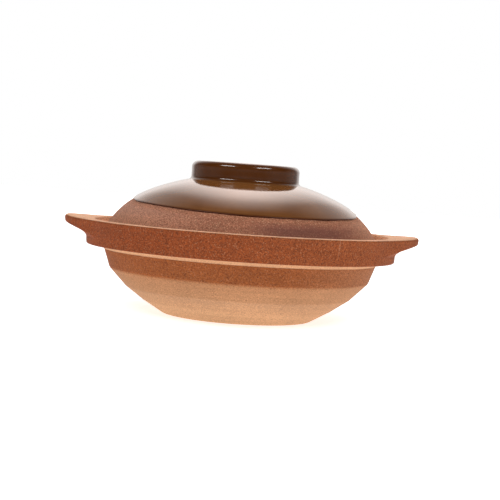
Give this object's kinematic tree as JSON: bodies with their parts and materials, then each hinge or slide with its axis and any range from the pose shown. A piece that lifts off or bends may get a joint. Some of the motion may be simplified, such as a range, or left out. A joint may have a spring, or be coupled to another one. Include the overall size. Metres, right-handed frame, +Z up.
{
  "type": "lidded clay casserole",
  "caption": "Round clay casserole with a ridged bowl, deep overhanging collar, side lugs, and a domed drop-in lid with a ring grip and brown glaze.",
  "frame": {"origin": "centre of the flat base, on the table", "axes": "+X towards the right lug, +Y away from the viewer, +Z up through the lid's ring grip"},
  "size_m": [0.24, 0.21, 0.1028],
  "materials": {
    "bowl_clay": "matte",
    "collar_clay": "matte",
    "lug_clay": "matte",
    "lid_clay": "matte",
    "brown_glaze": "gloss"
  },
  "bodies": {
    "pot": {"pot_bowl": "bowl_clay", "pot_inner_glaze": "brown_glaze", "rim_collar": "collar_clay", "lug_handle_left": "lug_clay", "lug_handle_right": "lug_clay"},
    "lid": {"lid_dome": "lid_clay", "lid_grip_ring": "lid_clay", "lid_glaze": "brown_glaze"}
  },
  "joints": [
    {"name": "lid_lift", "type": "slide", "parent": "pot", "child": "lid", "axis": [0, 0, 1], "range_m": [0, 0.08]}
  ]
}
